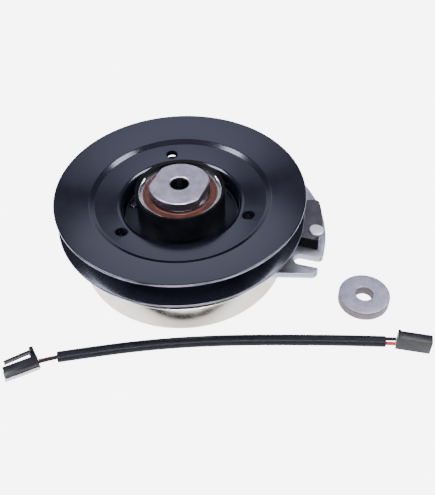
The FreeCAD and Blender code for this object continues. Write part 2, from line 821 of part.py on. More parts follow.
def leadPlugs():
    """The latched plug for the coil, the harness connector, and the wires at both ends."""
    spot = (-95.6, -87.0, 0)
    heading = 199.5
    body = block(("0", "-4.3", "0"), ("21.5", "6.9", "5.6"))
    hollow = block(("15.5", "-3.2", "1.2"), ("7", "4.6", "3.4"))
    bridge = block(("0.4", "-8.0", "1.0"), ("3.4", "4.2", "4.0"))
    tab = block(("0.6", "-10.6", "1.0"), ("2.6", "3.4", "6.4"))
    lever = block(("0", "0", "0"), ("18.5", "2.9", "4.2"))
    lever.Placement = FreeCAD.Placement(Vector(1.5, -10.4, 1.0), FreeCAD.Rotation(Vector(0, 0, 1), 4.5))
    plug = fuse([cut(body, hollow), bridge, tab, lever])
    finish(placed(plug, spot, heading), "latch_plug")
    side = block(("0.8", "2.6", "0"), ("21.5", "0.8", "2.3"))
    end = block(("21.5", "-4.3", "0"), ("0.8", "7.3", "1.1"))
    finish(placed(fuse([side, end]), spot, heading), "latch_plug_retainer")
    blade = group([block(("15.5", "-2.6", "2.4"), ("4", "0.8", "1.2")),
                   block(("15.5", "0.0", "2.4"), ("4", "0.8", "1.2"))])
    finish(placed(blade, spot, heading), "latch_plug_terminals")
    left = Vector(*route[0])
    right = Vector(*route[-1])
    for name, aside, lift, plugEnd, connectorEnd in (
            ("black", 1.15, 1.3, (-95.2, -87.4, 4.2), 127.3),
            ("red", -1.15, -0.3, (-95.9, -85.5, 2.6), 126.6)):
        ends = [straightWire(plugEnd, (left.x - 0.25, left.y - aside * 0.72, 3.6 + aside * 0.72), 1.1),
                straightWire((right.x + 0.25, right.y + aside, 3.5 + lift),
                             (connectorEnd, -95.6 + aside, 4.0 + lift), 1.15)]
        finish(group(ends), "lead_wires_" + name)
    body = block(("0", "0", "0"), ("21", "6.2", "11.4"))
    mouth = block(("12", "1", "1.5"), ("11", "4.2", "8.4"))
    lip = block(("0", "0", "0"), ("1.6", "6.6", "12"))
    body = fuse([cut(body, mouth), lip])
    finish(placed(body, (126.7, -98.1, 0), -17), "harness_connector")


for build in (fieldShell, coil, torquePlate, brake, bearings, hub, rotor, armature, leafSprings,
              pulley, housing, coilConnector, washer, leadSleeve, leadPlugs):
    build()
    print(build.__name__)

doc.recompute()

# Checks and files

for item in doc.Objects:
    bad = [state for state in item.State if state in ("Invalid", "Error")]
    if bad:
        raise RuntimeError(item.Name + " " + item.Label + " is " + bad[0])
os.makedirs("parts", exist_ok=True)
for piece in finished:
    if piece.Shape.isNull() or not piece.Shape.isValid():
        raise RuntimeError(piece.Label + " has no valid shape")
for piece in finished:
    piece.Shape.exportStep("parts/" + piece.Label + ".step")
    box = piece.Shape.BoundBox
    print(piece.Label, len(piece.Shape.Solids), round(piece.Shape.Volume), round(box.ZMin, 2), round(box.ZMax, 2))
print(len(finished), "pieces")
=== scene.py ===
import json
import math

import bmesh
import bpy
from mathutils import Matrix, Vector


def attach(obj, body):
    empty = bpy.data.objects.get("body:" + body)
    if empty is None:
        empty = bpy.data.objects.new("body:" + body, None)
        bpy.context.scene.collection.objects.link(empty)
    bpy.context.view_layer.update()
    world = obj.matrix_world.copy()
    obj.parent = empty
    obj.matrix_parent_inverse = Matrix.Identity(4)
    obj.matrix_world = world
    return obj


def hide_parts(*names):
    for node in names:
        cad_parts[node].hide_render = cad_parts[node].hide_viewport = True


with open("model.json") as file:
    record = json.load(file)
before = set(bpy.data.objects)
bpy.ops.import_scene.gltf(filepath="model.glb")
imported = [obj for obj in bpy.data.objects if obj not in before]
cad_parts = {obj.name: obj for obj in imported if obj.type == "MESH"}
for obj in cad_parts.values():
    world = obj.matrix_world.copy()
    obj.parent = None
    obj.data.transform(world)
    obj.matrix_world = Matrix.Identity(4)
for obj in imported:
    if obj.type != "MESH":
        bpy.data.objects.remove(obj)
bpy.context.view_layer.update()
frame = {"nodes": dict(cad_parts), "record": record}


# a colour written as six hex digits, turned from sRGB to linear
def linear(code):
    channels = [int(code[place:place + 2], 16) / 255 for place in (0, 2, 4)]
    curved = [c / 12.92 if c <= 0.04045 else ((c + 0.055) / 1.055) ** 2.4 for c in channels]
    return (*curved, 1.0)


# adds a node with its settings, its values and its links
def addNode(tree, kind, properties=None, values=None, links=None):
    node = tree.nodes.new(kind)
    for name, value in (properties or {}).items():
        setattr(node, name, value)
    for name, value in (values or {}).items():
        node.inputs[name].default_value = value
    for name, socket in (links or {}).items():
        tree.links.new(socket, node.inputs[name])
    return node


def startMaterial(name, shaderValues):
    material = bpy.data.materials.new(name)
    material.use_nodes = True
    tree = material.node_tree
    shader = tree.nodes["Principled BSDF"]
    for socket, value in shaderValues.items():
        shader.inputs[socket].default_value = value
    place = tree.nodes.new("ShaderNodeTexCoord").outputs["Object"]
    return material, tree, shader, place


# noise whose features are about size metres across
def noise(tree, place, size, detail=3.0):
    values = {"Scale": 1 / size, "Detail": detail, "Roughness": 0.55}
    return addNode(tree, "ShaderNodeTexNoise", None, values, {"Vector": place}).outputs["Fac"]


def spread(tree, factor, low, high, start=0.3, end=0.7):
    values = {"From Min": start, "From Max": end, "To Min": low, "To Max": high}
    return addNode(tree, "ShaderNodeMapRange", None, values, {"Value": factor}).outputs["Result"]


def tint(tree, factor, first, second, start=0.3, end=0.7):
    ramp = addNode(tree, "ShaderNodeValToRGB", None, None, {"Fac": factor})
    ramp.color_ramp.elements[0].position = start
    ramp.color_ramp.elements[1].position = end
    ramp.color_ramp.elements[0].color = linear(first)
    ramp.color_ramp.elements[1].color = linear(second)
    return ramp.outputs["Color"]


def bump(tree, shader, height, strength, distance):
    node = addNode(tree, "ShaderNodeBump", None, {"Strength": strength, "Distance": distance}, {"Height": height})
    tree.links.new(node.outputs["Normal"], shader.inputs["Normal"])


def calculate(tree, operation, first, second=None):
    node = tree.nodes.new("ShaderNodeMath")
    node.operation = operation
    for place, value in ((0, first), (1, second)):
        if isinstance(value, (int, float)):
            node.inputs[place].default_value = value
        elif value is not None:
            tree.links.new(value, node.inputs[place])
    return node.outputs["Value"]


# the distance from the shaft's axis, in metres
def radiusOf(tree, place):
    flat = addNode(tree, "ShaderNodeVectorMath", {"operation": "MULTIPLY"}, None, {0: place})
    flat.inputs[1].default_value = (1, 1, 0)
    return addNode(tree, "ShaderNodeVectorMath", {"operation": "LENGTH"}, None,
                   {0: flat.outputs["Vector"]}).outputs["Value"]


def mixColour(tree, factor, first, second):
    node = addNode(tree, "ShaderNodeMix", {"data_type": "RGBA"})
    tree.links.new(factor, node.inputs[0])
    for place, colour in ((6, first), (7, second)):
        if isinstance(colour, str):
            node.inputs[place].default_value = linear(colour)
        else:
            tree.links.new(colour, node.inputs[place])
    return node.outputs[2]


# fine rings about the shaft's axis, as a lathe leaves them
def turnedRings(tree, place, pitch):
    steps = addNode(tree, "ShaderNodeCombineXYZ", None, None, {"X": radiusOf(tree, place)})
    height = addNode(tree, "ShaderNodeSeparateXYZ", None, None, {"Vector": place}).outputs["Z"]
    tree.links.new(height, steps.inputs["Y"])
    return noise(tree, steps.outputs["Vector"], pitch, 4.0)


# where the rims turn to bare metal, by distance from the axis: partly wear, partly a painted highlight that gives
# the rolled rim its thin light line
enamel = {"wearAndHighlightFrom": 0.0821, "wearAndHighlightTo": 0.0826, "bare": "9a9aa6"}


# baked black enamel on pressed sheet: a thin hard gloss with a cold blue cast and a faint orange peel
def blackEnamel():
    material, tree, shader, place = startMaterial("blackEnamel", {
        "Specular IOR Level": 0.7, "Specular Tint": (0.74, 0.77, 1.0, 1.0)})
    patches = noise(tree, place, 0.030)
    # bare, metallic band at the rim edge: part wear, part painted highlight line
    edge = spread(tree, radiusOf(tree, place), 0.0, 1.0, enamel["wearAndHighlightFrom"], enamel["wearAndHighlightTo"])
    broken = spread(tree, noise(tree, place, 0.012), 0.0, 0.8, 0.35, 0.65)
    wearAndRimHighlight = calculate(tree, "MULTIPLY", edge, broken)
    paint = tint(tree, patches, "08080f", "0c0c15")
    tree.links.new(mixColour(tree, wearAndRimHighlight, paint, enamel["bare"]), shader.inputs["Base Color"])
    tree.links.new(wearAndRimHighlight, shader.inputs["Metallic"])
    tree.links.new(spread(tree, patches, 0.13, 0.21), shader.inputs["Roughness"])
    bump(tree, shader, noise(tree, place, 0.0022, 2.0), 0.12, 0.00006)
    return material


# the same black, thin and dull inside the bearing's cup
def dullBlack():
    material, tree, shader, place = startMaterial("dullBlack", {"Specular IOR Level": 0.06})
    patches = noise(tree, place, 0.008)
    tree.links.new(tint(tree, patches, "07070a", "0d0d12"), shader.inputs["Base Color"])
    tree.links.new(spread(tree, patches, 0.40, 0.55), shader.inputs["Roughness"])
    bump(tree, shader, noise(tree, place, 0.0008, 2.0), 0.3, 0.00003)
    return material


# bare or plated steel: patchy colour and roughness, with blasted grain or turned rings
def steel(name, dark, light, low, high, grain, pitch=None, rough=0.00002, strength=0.5):
    material, tree, shader, place = startMaterial(name, {"Metallic": 1.0})
    patches = noise(tree, place, 0.012, 4.0)
    tree.links.new(tint(tree, patches, dark, light), shader.inputs["Base Color"])
    tree.links.new(spread(tree, patches, low, high), shader.inputs["Roughness"])
    relief = turnedRings(tree, place, pitch) if pitch else noise(tree, place, grain, 3.0)
    bump(tree, shader, relief, strength, rough)
    return material


# the hub: blasted steel with dark specks, a threaded bore whose inside is painted near-black as shade, and a side
# below the disc's top painted darker as shade
hub = {
    "dark": "a39db0", "light": "bcb6c8", "speck": "77728a",
    # painted shade: near-black inside the bore
    "bore": "15141a", "boreRadius": 0.0059, "pitch": 0.00127,
    # painted shade: a darker grey on the side below the disc's top
    "side": "5a5360", "sideShadeTop": 0.0647,
}


def hubSteel():
    material, tree, shader, place = startMaterial("hubSteel", {"Metallic": 1.0})
    patches = noise(tree, place, 0.006, 4.0)
    specks = spread(tree, noise(tree, place, 0.0009, 4.0), 0.0, 0.5, 0.52, 0.66)
    bare = mixColour(tree, specks, tint(tree, patches, hub["dark"], hub["light"]), hub["speck"])
    # inside the bore's radius the colour is painted shade, near-black
    inside = spread(tree, radiusOf(tree, place), 1.0, 0.0, hub["boreRadius"], hub["boreRadius"] + 0.0003)
    height = addNode(tree, "ShaderNodeSeparateXYZ", None, None, {"Vector": place}).outputs["Z"]
    # below the disc's top the side is painted darker as shade
    below = spread(tree, height, 1.0, 0.0, hub["sideShadeTop"] - 0.0002, hub["sideShadeTop"])
    turned = mixColour(tree, below, bare, hub["side"])
    tree.links.new(mixColour(tree, inside, turned, hub["bore"]), shader.inputs["Base Color"])
    tree.links.new(spread(tree, patches, 0.36, 0.46), shader.inputs["Roughness"])
    thread = calculate(tree, "SINE", calculate(tree, "MULTIPLY", height, 2 * math.pi / hub["pitch"]))
    grain = noise(tree, place, 0.0006, 3.0)
    turns = calculate(tree, "MULTIPLY", thread, calculate(tree, "MULTIPLY", inside, 6))
    relief = calculate(tree, "ADD", grain, turns)
    bump(tree, shader, relief, 0.5, 0.00005)
    return material


washer = {"radius": 16.8, "hole": 5.6, "thickness": 7.1, "edge": 0.9, "spot": (0.1160, -0.0575)}


# the washer: the same blasted steel, with painted shade in a darker brown-grey on the sheared rim and in the hole
def washerSteel():
    material, tree, shader, place = startMaterial("washerSteel", {"Metallic": 1.0})
    patches = noise(tree, place, 0.004, 4.0)
    specks = spread(tree, noise(tree, place, 0.0008, 4.0), 0.0, 0.6, 0.50, 0.64)
    face = mixColour(tree, specks, tint(tree, patches, "938fa6", "a7a3b8"), "6f6b80")
    centre = addNode(tree, "ShaderNodeVectorMath", {"operation": "SUBTRACT"}, None, {0: place})
    centre.inputs[1].default_value = (*washer["spot"], 0)
    reach = radiusOf(tree, centre.outputs["Vector"])
    rim, hole = washer["radius"] / 1000, washer["hole"] / 1000
    # painted shade: the outer rim and the hole's wall turn brown-grey
    rimAndHoleShade = calculate(tree, "MAXIMUM", spread(tree, reach, 0.0, 1.0, rim - 0.0003, rim - 0.0001),
                        spread(tree, reach, 1.0, 0.0, hole + 0.0001, hole + 0.0003))
    tree.links.new(mixColour(tree, rimAndHoleShade, face, "6a6268"), shader.inputs["Base Color"])
    tree.links.new(spread(tree, patches, 0.42, 0.54), shader.inputs["Roughness"])
    bump(tree, shader, noise(tree, place, 0.0008, 3.0), 0.5, 0.00006)
    return material


# plastic, vinyl, rubber or matt paint: soft gloss over a fine moulded grain
def plastic(name, dark, light, low, high, grain, rough=0.00003, shine=0.45):
    material, tree, shader, place = startMaterial(name, {"Specular IOR Level": shine})
    patches = noise(tree, place, 0.006, 3.0)
    tree.links.new(tint(tree, patches, dark, light), shader.inputs["Base Color"])
    tree.links.new(spread(tree, patches, low, high), shader.inputs["Roughness"])
    bump(tree, shader, noise(tree, place, grain, 2.0), 0.5, rough)
    return material


materials = {
    "black_enamel": blackEnamel(),
    "machined_steel": hubSteel(),
    "zinc_plate": steel("zincPlate", "cdc6be", "e0dad2", 0.16, 0.26, 0.002, rough=0.00002),
    "bearing_steel": steel("groundSteel", "cfcfd6", "e0e0e6", 0.20, 0.30, 0.001, pitch=0.0002, rough=0.00001),
    "spring_steel": steel("springSteel", "34343c", "45454e", 0.30, 0.42, 0.001),
    "rotor_steel": steel("rotorSteel", "76757a", "8b8a8f", 0.30, 0.45, 0.001, pitch=0.0003),
    "washer_steel": washerSteel(),
    "seal_rubber": plastic("sealRubber", "3a1a13", "4a251c", 0.38, 0.50, 0.0006),
    "brake_black": plastic("brakeBlack", "2a2731", "383440", 0.40, 0.55, 0.0008, 0.00006, 0.3),
    "block_black": plastic("blockBlack", "050507", "09090c", 0.45, 0.60, 0.0012, shine=0.03),
    "copper_wire": steel("copperWire", "9c5a34", "b8703f", 0.25, 0.35, 0.0008),
    "bobbin_nylon": plastic("bobbinNylon", "cfc8b2", "ddd7c4", 0.45, 0.55, 0.001),
    "potting_resin": plastic("pottingResin", "17171a", "222226", 0.35, 0.50, 0.003),
    "connector_plastic": plastic("connectorPlastic", "0b0a12", "13121c", 0.28, 0.40, 0.0006, shine=0.28),
    "retainer_grey": plastic("retainerGrey", "b4b3b8", "c6c5ca", 0.35, 0.45, 0.0006),
    "terminal_brass": steel("terminalBrass", "b9975a", "cdae6e", 0.20, 0.30, 0.001),
    "sleeve_vinyl": plastic("sleeveVinyl", "0b0b12", "13131b", 0.34, 0.46, 0.0012, shine=0.12),
    "wire_black": plastic("wireBlack", "0a090c", "121116", 0.40, 0.50, 0.001, shine=0.12),
    "wire_red": plastic("wireRed", "8c0f1c", "ad1f30", 0.35, 0.45, 0.001, shine=0.2),
}
cupBlack = dullBlack()
armZinc = steel("armZinc", "9c9cad", "b6b6c4", 0.34, 0.44, 0.002, rough=0.00003)
rivetHead = steel("rivetHead", "dcdae8", "ecebf6", 0.40, 0.50, 0.001, rough=0.00003)

slotOf = {}
for entry in frame["record"]["subparts"]:
    slotOf[entry["node"]] = entry["material_slot"]
    node = frame["nodes"][entry["node"]]
    node.data.materials.clear()
    node.data.materials.append(materials[entry["material_slot"]])
print("materials", len(materials))


# camera first, because the lead's length is judged in its view
view = {
    "place": (0.0, -0.33855, 0.357955),
    "aim": (0.02368, 0.00176, 0.0),
    "roll": -1.66,
    "lens": 49.85,
}


def camera():
    data = bpy.data.cameras.new("camera")
    data.lens = view["lens"]
    data.sensor_width = 36
    data.clip_start = 0.01
    eye = bpy.data.objects.new("camera", data)
    bpy.context.collection.objects.link(eye)
    place = Vector(view["place"])
    forward = (Vector(view["aim"]) - place).normalized()
    right = forward.cross(Vector((0, 0, 1))).normalized()
    up = right.cross(forward)
    turn = Matrix((right, up, -forward)).transposed().to_4x4()
    eye.matrix_world = Matrix.Translation(place) @ turn @ Matrix.Rotation(math.radians(view["roll"]), 4, "Z")
    bpy.context.scene.camera = eye


camera()


# the adapter lead: its vinyl sleeve lies on the floor between the plugs
lead = {
    "radius": 0.0035,
    "length": 0.2055,
    "route": [
        (-0.0841, -0.0846, 0.0035),
        (-0.0580, -0.0826, 0.0035),
        (-0.0266, -0.0813, 0.0035),
        (0.0050, -0.0819, 0.0035),
        (0.0366, -0.0842, 0.0035),
        (0.0680, -0.0875, 0.0035),
        (0.0992, -0.0912, 0.0035),
        (0.1207, -0.0943, 0.0035),
    ],
}


def leadSleeve():
    curve = bpy.data.curves.new("leadSleeve", "CURVE")
    curve.dimensions = "3D"
    spline = curve.splines.new("NURBS")
    spline.points.add(len(lead["route"]) - 1)
    for point, place in zip(spline.points, lead["route"]):
        point.co = (*place, 1)
    spline.order_u = 3
    spline.use_endpoint_u = True
    spline.resolution_u = 12
    curve.bevel_depth = lead["radius"]
    curve.bevel_resolution = 6
    curve.use_fill_caps = True
    piece = bpy.data.objects.new("leadSleeve", curve)
    bpy.context.collection.objects.link(piece)
    curve.materials.append(materials["sleeve_vinyl"])
    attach(piece, "adapter_lead")
    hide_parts("lead_sleeve")
    return piece


sleeve = leadSleeve()
print("lead")


# a tree that turns a closed outline of radius and height about the axis, bends its corners and bores holes
def startTree(name, sockets):
    tree = bpy.data.node_groups.new(name, "GeometryNodeTree")
    tree.interface.new_socket("Geometry", in_out="INPUT", socket_type="NodeSocketGeometry")
    tree.interface.new_socket("Geometry", in_out="OUTPUT", socket_type="NodeSocketGeometry")
    for label, kind in sockets:
        tree.interface.new_socket(label, in_out="INPUT", socket_type=kind)
    start = tree.nodes.new("NodeGroupInput")
    end = tree.nodes.new("NodeGroupOutput")
    return tree, start.outputs, end.inputs["Geometry"]


def turningTree(bored):
    sockets = [("Steps", "NodeSocketInt"), ("Bend steps", "NodeSocketInt"), ("Material", "NodeSocketMaterial")]
    if bored:
        sockets += [("Holes", "NodeSocketInt"), ("Hole radius", "NodeSocketFloat"),
                    ("Hole circle", "NodeSocketFloat"), ("Hole turn", "NodeSocketFloat"),
                    ("Hole height", "NodeSocketFloat")]
    tree, given, result = startTree("boredTurning" if bored else "turning", sockets)
    line = addNode(tree, "GeometryNodeMeshToCurve", None, None, {"Mesh": given["Geometry"]})
    bend = addNode(tree, "GeometryNodeInputNamedAttribute", {"data_type": "FLOAT"}, {"Name": "bend"})
    outline = tree.nodes.new("GeometryNodeFilletCurve")
    if "Mode" in outline.inputs:
        outline.inputs["Mode"].default_value = "Poly"
    else:
        outline.mode = "POLY"
    outline.inputs["Limit Radius"].default_value = True
    tree.links.new(line.outputs["Curve"], outline.inputs["Curve"])
    tree.links.new(given["Bend steps"], outline.inputs["Count"])
    tree.links.new(bend.outputs["Attribute"], outline.inputs["Radius"])
    outline = outline.outputs["Curve"]
    size = addNode(tree, "GeometryNodeAttributeDomainSize", {"component": "CURVE"}, None, {"Geometry": outline})
    count = size.outputs["Point Count"]
    across = calculate(tree, "ADD", given["Steps"], 1)
    grid = addNode(tree, "GeometryNodeMeshGrid", None, None,
                   {"Vertices X": calculate(tree, "ADD", count, 1), "Vertices Y": across})
    index = tree.nodes.new("GeometryNodeInputIndex").outputs["Index"]
    column = calculate(tree, "FLOOR", calculate(tree, "DIVIDE", calculate(tree, "ADD", index, 0.5), across))
    turn = calculate(tree, "SUBTRACT", index, calculate(tree, "MULTIPLY", column, across))
    angle = calculate(tree, "DIVIDE", calculate(tree, "MULTIPLY", turn, 2 * math.pi), given["Steps"])
    position = tree.nodes.new("GeometryNodeInputPosition").outputs["Position"]
    corner = addNode(tree, "GeometryNodeSampleIndex", {"data_type": "FLOAT_VECTOR"}, None, {
        "Geometry": outline, "Value": position, "Index": calculate(tree, "MODULO", column, count)})
    parts = addNode(tree, "ShaderNodeSeparateXYZ", None, None, {"Vector": corner.outputs["Value"]}).outputs
    spot = addNode(tree, "ShaderNodeCombineXYZ", None, None, {
        "X": calculate(tree, "MULTIPLY", parts["X"], calculate(tree, "COSINE", angle)),
        "Y": calculate(tree, "MULTIPLY", parts["X"], calculate(tree, "SINE", angle)),
        "Z": parts["Z"]}).outputs["Vector"]
    shaped = addNode(tree, "GeometryNodeSetPosition", None, None,
                     {"Geometry": grid.outputs["Mesh"], "Position": spot}).outputs["Geometry"]
    closed = addNode(tree, "GeometryNodeMergeByDistance", None, {"Distance": 0.000002},
                     {"Geometry": shaped}).outputs["Geometry"]
    if bored:
        flipped = addNode(tree, "GeometryNodeFlipFaces", None, None, {"Mesh": closed}).outputs["Mesh"]
        circle = addNode(tree, "GeometryNodeMeshCircle", None, None,
                         {"Vertices": given["Holes"], "Radius": given["Hole circle"]})
        turned = addNode(tree, "ShaderNodeCombineXYZ", None, None, {"Z": given["Hole turn"]})
        raised = addNode(tree, "ShaderNodeCombineXYZ", None, None, {"Z": given["Hole height"]})
        ring = addNode(tree, "GeometryNodeTransform", None, None, {
            "Geometry": circle.outputs["Mesh"], "Rotation": turned.outputs["Vector"],
            "Translation": raised.outputs["Vector"]})
        drill = addNode(tree, "GeometryNodeMeshCylinder", None, {"Vertices": 48, "Depth": 0.012},
                        {"Radius": given["Hole radius"]})
        drills = addNode(tree, "GeometryNodeInstanceOnPoints", None, None,
                         {"Points": ring.outputs["Geometry"], "Instance": drill.outputs["Mesh"]})
        real = addNode(tree, "GeometryNodeRealizeInstances", None, None, {"Geometry": drills.outputs["Instances"]})
        bore = addNode(tree, "GeometryNodeMeshBoolean", {"operation": "DIFFERENCE"})
        tree.links.new(flipped, bore.inputs["Mesh 1"])
        tree.links.new(real.outputs["Geometry"], bore.inputs["Mesh 2"])
        closed = bore.outputs["Mesh"]
    realized = addNode(tree, "GeometryNodeRealizeInstances", None, None, {"Geometry": closed})
    painted = addNode(tree, "GeometryNodeSetMaterial", None, None,
                      {"Geometry": realized.outputs["Geometry"], "Material": given["Material"]})
    tree.links.new(painted.outputs["Geometry"], result)
    return tree


# a tree that sets a copy of one shape on each given point
def settingTree():
    sockets = [("Shape", "NodeSocketObject"), ("Material", "NodeSocketMaterial")]
    tree, given, result = startTree("setting", sockets)
    shape = addNode(tree, "GeometryNodeObjectInfo", None, None, {"Object": given["Shape"]})
    copies = addNode(tree, "GeometryNodeInstanceOnPoints", None, None,
                     {"Points": given["Geometry"], "Instance": shape.outputs["Geometry"]})
    realized = addNode(tree, "GeometryNodeRealizeInstances", None, None, {"Geometry": copies.outputs["Instances"]})
    painted = addNode(tree, "GeometryNodeSetMaterial", None, None,
                      {"Geometry": realized.outputs["Geometry"], "Material": given["Material"]})
    tree.links.new(painted.outputs["Geometry"], result)
    return tree


trees = {"turned": turningTree(False), "bored": turningTree(True), "set": settingTree()}


# runs a tree on a piece and leaves a plain mesh
def grow(piece, tree, values):
    modifier = piece.modifiers.new("shape", "NODES")
    modifier.node_group = tree
    for item in tree.interface.items_tree:
        if item.in_out == "INPUT" and item.name in values:
            modifier[item.identifier] = values[item.name]
    bpy.context.view_layer.update()
    seen = piece.evaluated_get(bpy.context.evaluated_depsgraph_get())
    mesh = bpy.data.meshes.new_from_object(seen)
    piece.modifiers.remove(modifier)
    piece.data = mesh
    return piece


def startPiece(name, points, edges, faces=()):
    mesh = bpy.data.meshes.new(name)
    mesh.from_pydata(points, edges, faces)
    piece = bpy.data.objects.new(name, mesh)
    bpy.context.collection.objects.link(piece)
    return piece


# faces turned outward and shaded smooth up to an angle
def smooth(piece, angle=32):
    shape = bmesh.new()
    shape.from_mesh(piece.data)
    bmesh.ops.recalc_face_normals(shape, faces=shape.faces)
    for face in shape.faces:
        face.smooth = True
    shape.to_mesh(piece.data)
    shape.free()
    piece.data.set_sharp_from_angle(angle=math.radians(angle))
    return piece


# a turned piece from corners of radius, height and bend, in millimetres
def turnedPiece(name, corners, material, steps=240, bore=None):
    points = [(radius / 1000, 0, height / 1000) for radius, height, bend in corners]
    count = len(points)
    piece = startPiece(name, points, [(place, (place + 1) % count) for place in range(count)])
    bends = piece.data.attributes.new("bend", "FLOAT", "POINT")
    for item, (radius, height, bend) in zip(bends.data, corners):
        item.value = bend / 1000
    values = {"Steps": steps, "Bend steps": 7, "Material": material}
    values.update(bore or {})
    grow(piece, trees["bored" if bore else "turned"], values)
    return smooth(piece)


def fit(piece, body, *nodes):
    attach(piece, body)
    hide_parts(*nodes)
    return piece


def joined(name, pieces):
    shape = bmesh.new()
    for piece in pieces:
        shape.from_mesh(piece.data)
    mesh = bpy.data.meshes.new(name)
    shape.to_mesh(mesh)
    shape.free()
    for material in pieces[0].data.materials:
        mesh.materials.append(material)
    for piece in pieces:
        bpy.data.objects.remove(piece)
    result = bpy.data.objects.new(name, mesh)
    bpy.context.collection.objects.link(result)
    mesh.set_sharp_from_angle(angle=math.radians(32))
    return result


# pulley: two pressed halves whose web dips towards the well
pulley = {
    "rim": 82.5, "top": 59.7, "spacing": 20.8, "sheet": 2.0, "roll": 0.85,
    "foot": 60.2, "drop": 5.3, "web": 57.0, "dish": 2.2, "well": 38.7, "wellRoll": 4.5, "floor": 39.2,
    "housing": 29.4, "holes": 3, "holeRadius": 4.1, "holeCircle": 47.4, "holeTurn": 94.5,
}


def pulleyHalves():
    p = pulley
    middle = p["top"] - p["spacing"] / 2
    outer = middle + p["dish"] / 2
    inner = middle - p["dish"] / 2
    inset = p["sheet"] * 1.03
    base = p["top"] - p["spacing"]
    bore = {"Holes": p["holes"], "Hole radius": p["holeRadius"] / 1000, "Hole circle": p["holeCircle"] / 1000,
            "Hole turn": math.radians(p["holeTurn"]), "Hole height": middle / 1000}
    upper = turnedPiece("pulleyUpper", [
        (p["rim"], p["top"], p["roll"]),
        (p["foot"], p["top"] - p["drop"], 3.0),
        (p["web"], outer + p["sheet"], 2.2),
        (p["well"], inner + p["sheet"], p["wellRoll"]),
        (p["well"], p["floor"], 1.5),
        (p["housing"], p["floor"], 0),
        (p["housing"], p["floor"] - p["sheet"], 0),
        (p["well"] + p["sheet"], p["floor"] - p["sheet"], 2.0),
        (p["well"] + p["sheet"], inner, 1.0),
        (p["web"] + 1, outer, 2.0),
        (p["foot"] + 0.5, p["top"] - p["drop"] - inset, 2.0),
        (p["rim"], p["top"] - inset, p["roll"]),
    ], materials["black_enamel"], 288, bore)
    fit(upper, "pulley", "pulley_upper_half")
    lower = turnedPiece("pulleyLower", [
        (p["rim"], base, p["roll"]),
        (p["rim"], base + inset, p["roll"]),
        (p["foot"] + 0.5, base + p["drop"] + inset, 2.0),
        (p["web"] + 1, outer, 2.0),
        (p["well"] + p["sheet"] + 1.1, inner + 0.11, 0),
        (p["well"] + p["sheet"] + 1.1, inner + 0.11 - p["sheet"], 0),
        (p["web"], outer - p["sheet"], 2.2),
        (p["foot"], base + p["drop"], 3.0),
    ], materials["black_enamel"], 288, bore)
    fit(lower, "pulley", "pulley_lower_half")


pulleyHalves()
print("pulley")


# the bearing's cup, its seals and its outer wall
bearing = {"base": 37.1, "width": 20.0, "cupTop": 61.0, "sealInner": 19.4, "sealOuter": 24.8}


def bearingCup():
    b = bearing
    cup = turnedPiece("bearingCup", [
        (25.5, 35.2, 0),
        (29.4, 35.2, 0.6),
        (29.4, b["cupTop"], 0.45),
        (28.6, b["cupTop"], 0.35),
        (27.5, b["cupTop"] - 1.0, 0.3),
        (27.5, b["base"], 0),
        (25.5, b["base"], 0),
    ], cupBlack)
    fit(cup, "pulley", "bearing_housing")
    rings = []
    for face, way in ((b["base"] + b["width"], 1), (b["base"], -1)):
        rings.append(turnedPiece("seal", [
            (b["sealInner"], face - way * 0.9, 0),
            (b["sealOuter"], face - way * 0.9, 0),
            (b["sealOuter"], face - way * 0.15, 0.15),
            (23.7, face - way * 0.15, 0.2),
            (23.2, face - way * 0.5, 0.2),
            (20.9, face - way * 0.5, 0.2),
            (20.5, face - way * 0.1, 0.2),
            (b["sealInner"], face - way * 0.1, 0.25),
        ], materials["seal_rubber"], 160))
    fit(joined("bearingSeals", rings), "pulley", "pulley_bearing_seals")


bearingCup()

# the round-wire snap ring, whose two ends lift clear of the groove
snapRing = {
    "radius": 0.0271, "height": 0.0581, "wire": 0.0009, "start": 149, "sweep": 234.5,
    "steps": 40, "lifted": 1 / 16, "lift": 0.0014, "inward": 0.0006,
}


def liftedRing():
    s = snapRing
    curve = bpy.data.curves.new("snapRing", "CURVE")
    curve.dimensions = "3D"
    spline = curve.splines.new("NURBS")
    steps = s["steps"]
    spline.points.add(steps)
    for place, point in enumerate(spline.points):
        along = place / steps
        angle = math.radians(s["start"] + s["sweep"] * along)
        near = max(0.0, 1 - min(along, 1 - along) / s["lifted"])
        reach = s["radius"] - s["inward"] * near
        point.co = (reach * math.cos(angle), reach * math.sin(angle), s["height"] + s["lift"] * near ** 2, 1)
    spline.order_u = 4
    spline.use_endpoint_u = True
    curve.bevel_depth = s["wire"]
    curve.bevel_resolution = 4
    curve.use_fill_caps = True
    piece = bpy.data.objects.new("snapRing", curve)
    bpy.context.collection.objects.link(piece)
    curve.materials.append(materials["bearing_steel"])
    fit(piece, "pulley", "bearing_snap_ring")


liftedRing()
print("bearing")


# coil shell: a deep-drawn cup with a rounded foot, open at the top
shell = {"radius": 70.7, "height": 22.5, "wall": 4.5, "foot": 5.0, "pole": 36.0, "poleTop": 21.5}


def coilShell():
    s = shell
    cup = turnedPiece("coilShell", [
        (28.0, 0, 0.5),
        (s["radius"], 0, s["foot"]),
        (s["radius"], s["height"], 0.8),
        (s["radius"] - s["wall"], s["height"], 0.5),
        (s["radius"] - s["wall"], s["wall"], 2.0),
        (s["pole"], s["wall"], 0.5),
        (s["pole"], s["poleTop"], 0.5),
        (31.0, s["poleTop"], 0.5),
        (31.0, 20.2, 0),
        (32.2, 20.2, 0),
        (32.2, 18.7, 0),
        (31.0, 18.7, 0),
        (31.0, s["wall"], 0),
        (28.0, s["wall"], 0.3),
    ], materials["zinc_plate"])
    fit(cup, "field", "field_shell")


coilShell()


# the loose washer, blasted, with broken edges

